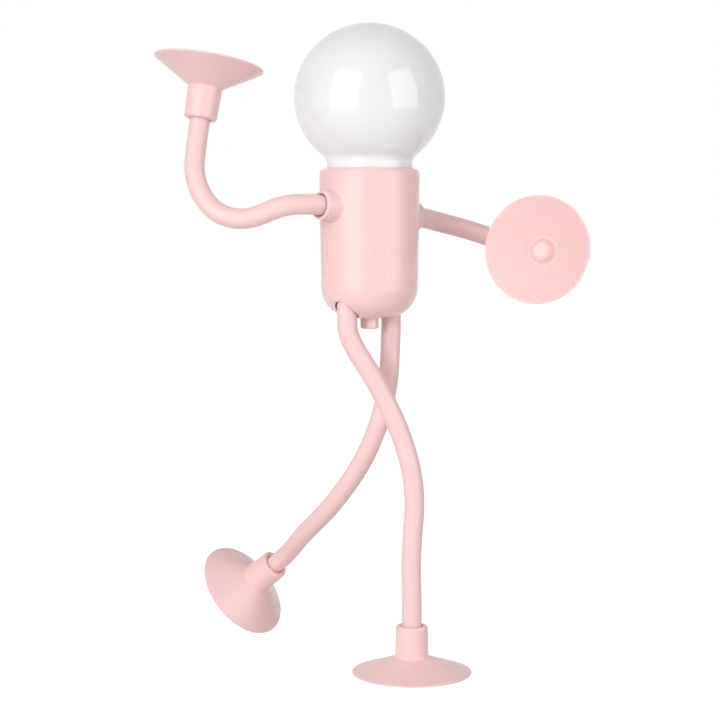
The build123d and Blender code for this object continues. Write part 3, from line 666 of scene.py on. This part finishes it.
def sleevePiece(name, line, frames, span, nodes):
    # A length of sleeve: rings about the line, radius * (side * cos + across * sin), with closed ends and a
    # UV map in metres of distance round and along it. Each end runs on a little inside the next length, ever
    # so slightly thinner, so that no seam shows.
    look = {"around": 48, "tuckRows": 2, "tuck": 0.02}
    around = look["around"]
    first, last = max(span[0] - look["tuckRows"], 0), min(span[1] + look["tuckRows"], len(line) - 1)
    row = np.arange(first, last + 1)
    outside = np.maximum(np.maximum(span[0] - row, row - span[1]), 0)
    radius = (fit["sleeveRadius"] - look["tuck"] * outside)[:, None, None]
    sides, acrosses = (part[first:last + 1, None] for part in frames)
    angles = np.arange(around)[None, :, None] * 2 * pi / around
    points = line[first:last + 1, None] + radius * (np.cos(angles) * sides + np.sin(angles) * acrosses)
    rows = len(points)
    quads = gridFaces(rows, around, flip=True).tolist()
    caps = [np.arange(around).tolist(), ((rows - 1) * around + np.arange(around)[::-1]).tolist()]
    mesh = bpy.data.meshes.new(name)
    mesh.from_pydata((points.reshape(-1, 3) * mm).tolist(), [], quads + caps)
    along = np.concatenate([[0], np.cumsum(np.linalg.norm(np.diff(line, axis=0), axis=1))])[first:last + 1]
    i, j = np.divmod(np.arange(len(quads)), around)
    column = np.stack([j, j + 1, j + 1, j], 1).ravel()
    uv = np.zeros((len(mesh.loops), 2), np.float32)
    uv[:len(column), 0] = column * 2 * pi * fit["sleeveRadius"] / around * mm
    uv[:len(column), 1] = along[np.stack([i + 1, i + 1, i, i], 1).ravel()] * mm
    mesh.uv_layers.new(name="sleeve").data.foreach_set("uv", uv.ravel())
    mesh.polygons.foreach_set("use_smooth", np.arange(len(mesh.polygons)) < len(quads))
    piece = addObject(name, mesh, "sleeve_silicone")
    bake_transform(piece)
    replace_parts(piece, *nodes)


# Points are the corners of a limb's middle line, and centre is the middle of its cup's rim, in millimetres
# from the limb's root. A leg gives its cup's place from the origin. Faces is the way the cup's hollow looks.
limbs = {
    "raised": {"kind": "arm", "side": -1, "cup": "hand", "height": "coneHeight", "rim": "cupRadius",
               "points": [(-20.2, -10.3, 0.9), (-35.2, -6.3, -5.8), (-48.7, -2.3, -1.9), (-56.2, 1.7, 11.4)],
               "centre": (-50.2, 9.7, 56.9), "faces": (0.150, 0.116, 0.982)},
    "side": {"kind": "arm", "side": 1, "cup": "hand", "height": "coneHeight", "rim": "cupRadius",
             "points": [(12.7, 15.3, -2.0), (29.7, 24.3, -6.3), (48.7, 30.3, -12.9), (61.2, 25.3, -15.9)],
             "centre": (53.2, -14.7, -13.6), "faces": (-0.387, -0.916, 0.101)},
    "standing": {"kind": "leg", "side": -1, "cup": "foot", "height": "pressedHeight", "rim": "pressedRadius",
                 "points": [(11.3, 1.3, -34.4), (22.3, 0.9, -56.9), (27.5, 0.9, -78.9), (25.3, 0.9, -103.9)],
                 "place": (0.0, 0.0, 0.0), "faces": (0.0, 0.0, -1.0)},
    "lifted": {"kind": "leg", "side": 1, "cup": "foot", "height": "coneHeight", "rim": "cupRadius",
               "points": [(-1.3, -0.4, -42.9), (-9.9, 3.1, -67.9), (-23.9, 13.6, -89.4),
                          (-37.1, 29.5, -104.7)],
               "place": (-73.0, 76.0, 17.22), "faces": (-0.665, 0.434, -0.609)},
}
limbKinds = {
    "arm": {"firstRun": 12.0, "middleCorner": 4, "rootReach": 3.6,
            "lengths": ("shoulder_bend", "upper", "elbow_bend", "forearm", "wrist_bend"),
            "bodies": ("{}_upper_arm", "{}_forearm", "{}_hand")},
    "leg": {"firstRun": 17.0, "middleCorner": 3, "rootReach": 6.8,
            "lengths": ("hip_bend", "thigh", "knee_bend", "shin", "ankle_bend"),
            "bodies": ("{}_thigh", "{}_shin", "{}_foot")},
}


def limb(name, facts):
    # Three lengths of sleeve that meet in the middle of the stretches that don't bend, and the cup. A point
    # on the straight run beside each end keeps the line straight inside its socket. The line ends in the
    # cup's socket, at centre - faces * (height + socketLength - socketDepth + seatGap).
    look = {"tipRun": 19.0, "tipReach": 7.6, "straight": 0.45, "seated": 0.4}
    kind = limbKinds[facts["kind"]]
    faces = unit(facts["faces"])
    if facts["kind"] == "arm":
        way = sideWay * facts["side"]
        root = armMiddle + way * fit["armSeat"]
    else:
        way = -up
        root = bodyFoot + legWay * facts["side"] * fit["legOffset"] + up * fit["legSeat"]
    centre = np.array(facts["place"]) if "place" in facts else root + np.array(facts["centre"])
    height = fit[facts["height"]]
    seat = centre - faces * (height + fit["socketLength"] - fit["socketDepth"] + fit["seatGap"])
    corners = np.array([root, root + way * kind["firstRun"], *[root + np.array(p) for p in facts["points"]],
                        seat - faces * look["tipRun"], seat])
    guide = np.concatenate([
        [root + way * look["seated"], root + way * kind["firstRun"] * look["straight"]], corners[1:-1],
        [seat - faces * look["tipRun"] * look["straight"], seat]])
    line, station = centreLine(guide)
    frames = tubeFrames(line)
    middle, last = kind["middleCorner"], len(corners) - 2  # the guide counts one corner more than corners
    cuts = [0, *[int(np.argmin(abs(station - 1 - (a + b) / 2))) for a, b in ((1, middle), (middle, last))],
            len(line) - 1]
    bodies = ["body", *[body.format(name) for body in kind["bodies"]]]
    tag = f"{name}_{facts['kind']}"
    nodes = [f"{tag}_{length}" for length in kind["lengths"]]
    shown = [[nodes[0], nodes[1]], [nodes[2], f"{tag}_wire"], [nodes[3], nodes[4]]]
    for number, corner in enumerate((1, middle, last)):
        sleevePiece(f"{name}Sleeve{'ABC'[number]}", line, frames, cuts[number:number + 2], shown[number])
    suctionCup(f"{name}Cup", f"{name}_{facts['cup']}_cup", bodies[3], centre, faces, fit[facts["rim"]],
               height)


drum()
globe()
pushButton()
for limbName, limbFacts in limbs.items():
    limb(limbName, limbFacts)


# Floor, light and camera
def seenDirectly(tree):
    # 1 for rays from the camera and for rays that a shiny or clear surface sends on, else 0: the largest of
    # the three ray flags
    path = addNode(tree, "LightPath").outputs
    either = addNode(tree, "Math", {0: path["Is Camera Ray"], 1: path["Is Glossy Ray"]}, operation="MAXIMUM")
    return addNode(tree, "Math", {0: either.outputs[0], 1: path["Is Transmission Ray"]},
                   operation="MAXIMUM").outputs[0]


def floorAndWorld():
    # White paper floor and white surroundings, which direct and mirrored rays see as white. What the floor
    # shows is its glow, seen, plus what the paper sends back of the light, so that it keeps the object's
    # shadow. All other rays get only the paper's share from the floor, and fill from the surroundings.
    look = {"paper": "#E6E5E5", "seen": 0.8, "fill": 0.35, "size": 8.0}
    mesh = bpy.data.meshes.new("floor")
    reach = look["size"]
    mesh.from_pydata([(-reach, -reach, 0), (reach, -reach, 0), (reach, reach, 0), (-reach, reach, 0)], [],
                     [(0, 1, 2, 3)])
    floor = bpy.data.objects.new("floor", mesh)
    bpy.context.scene.collection.objects.link(floor)
    material = bpy.data.materials.new("paperFloor")
    material.use_nodes = True
    tree = material.node_tree
    tree.nodes.clear()
    paper = addNode(tree, "BsdfDiffuse", {"Color": hexColour(look["paper"])})
    strength = addNode(tree, "Math", {0: seenDirectly(tree), 1: look["seen"]}, operation="MULTIPLY")
    glow = addNode(tree, "Emission", {"Strength": strength.outputs[0]})
    both = addNode(tree, "AddShader", {0: paper.outputs[0], 1: glow.outputs[0]})
    addNode(tree, "OutputMaterial", {"Surface": both.outputs[0]})
    mesh.materials.append(material)
    world = bpy.data.worlds.new("studio")
    bpy.context.scene.world = world
    world.use_nodes = True
    tree = world.node_tree
    tree.nodes.clear()
    level = addNode(tree, "MapRange", {"Value": seenDirectly(tree), "To Min": look["fill"], "To Max": 1.0})
    sky = addNode(tree, "Background", {"Color": (1.0, 1.0, 1.0, 1.0), "Strength": level.outputs["Result"]})
    addNode(tree, "OutputWorld", {"Surface": sky.outputs[0]})


def softbox(name, look):
    # Panel of light that faces the globe, upright unless it hangs above. Azimuth 0 is the camera's side
    # and 90 is the right. Roll leans its top over, anticlockwise as seen from behind the panel. Its power
    # is radiance * 4 * area, because a panel of 1 W gives 1 / (4 * area). Its light and the shine that it
    # leaves on glossy skins are two lamps, so that each is set by itself.
    steep = 45  # degrees of elevation above which a panel leans over to face the globe
    gap = 0.01  # metres from light to shine: at one place a lamp would hide the other from sharp skins
    a, e = radians(look["azimuth"]), radians(look["elevation"])
    way = Vector((sin(a) * cos(e), -cos(a) * cos(e), sin(e)))
    facing = way if look["elevation"] > steep else Vector((way.x, way.y, 0))
    lean = Quaternion((0, 0, 1), radians(look["roll"]))
    aim = Vector((*(bodyFoot[:2] * mm), globeHeight * mm))
    for part, radiance, nearer in (("Light", look["radiance"], 0.0), ("Shine", look["shine"], gap)):
        if radiance == 0:
            continue
        data = bpy.data.lights.new(name + part, "AREA")
        data.shape = "RECTANGLE"
        data.size, data.size_y = look["width"], look["height"]
        data.energy = radiance * 4 * look["width"] * look["height"]
        light = bpy.data.objects.new(name + part, data)
        light.location = aim + way * (look["distance"] - nearer)
        light.rotation_euler = (facing.to_track_quat("Z", "Y") @ lean).to_euler()
        light.visible_camera = False
        light.visible_diffuse = part == "Light"
        light.visible_glossy = part == "Shine"
        bpy.context.scene.collection.objects.link(light)


def lowSpot():
    # Soft spot that brings the legs and cups, farther from the softboxes, up to the light on the drum.
    # A spot of 1 W gives 1 / (4 * pi ^ 2) at a metre, as a share of white, and less with the distance
    # squared.
    look = {"place": (-0.45, -0.85, 0.28), "aim": (-0.03, 0.03, 0.06), "level": 0.29, "cone": 26.0,
            "blend": 1.0, "radius": 0.15}
    data = bpy.data.lights.new("lowSpot", "SPOT")
    data.spot_size, data.spot_blend = radians(look["cone"]), look["blend"]
    data.shadow_soft_size = look["radius"]
    light = bpy.data.objects.new("lowSpot", data)
    reach = Vector(look["place"]) - Vector(look["aim"])
    data.energy = look["level"] * 4 * pi ** 2 * reach.length_squared
    light.location = look["place"]
    light.rotation_euler = reach.to_track_quat("Z", "Y").to_euler()
    light.visible_camera = light.visible_glossy = False
    bpy.context.scene.collection.objects.link(light)


def addCamera():
    # Camera of the photograph, found by fitting the globe, the drum and the cups' rims
    look = {"place": (-0.0208, -0.691, 0.1802), "pitch": -4.5, "lens": 87.5, "sensor": 36.0,
            "clip": (0.01, 100.0)}
    data = bpy.data.cameras.new("camera")
    data.lens, data.sensor_width = look["lens"], look["sensor"]
    data.clip_start, data.clip_end = look["clip"]
    camera = bpy.data.objects.new("camera", data)
    camera.location = look["place"]
    camera.rotation_euler = (radians(90 + look["pitch"]), 0, 0)
    bpy.context.scene.collection.objects.link(camera)
    bpy.context.scene.camera = camera


floorAndWorld()
softbox("leftSoftbox", {"azimuth": -38, "elevation": 10.5, "distance": 0.62, "width": 0.46, "height": 0.66,
                        "roll": -9, "radiance": 1.42, "shine": 2.3})
softbox("rightSoftbox", {"azimuth": 53, "elevation": 10.5, "distance": 0.62, "width": 0.48, "height": 0.62,
                         "roll": 9, "radiance": 0.95, "shine": 2.1})
softbox("frontPanel", {"azimuth": -15, "elevation": 8, "distance": 1.3, "width": 1.4, "height": 0.75,
                       "roll": 0, "radiance": 0.42, "shine": 0})
softbox("topPanel", {"azimuth": -20, "elevation": 72, "distance": 1.0, "width": 0.9, "height": 0.9,
                     "roll": 0, "radiance": 0.25, "shine": 0})
lowSpot()
addCamera()
bpy.context.scene.view_settings.view_transform = "Standard"
print("floor, light and camera set")
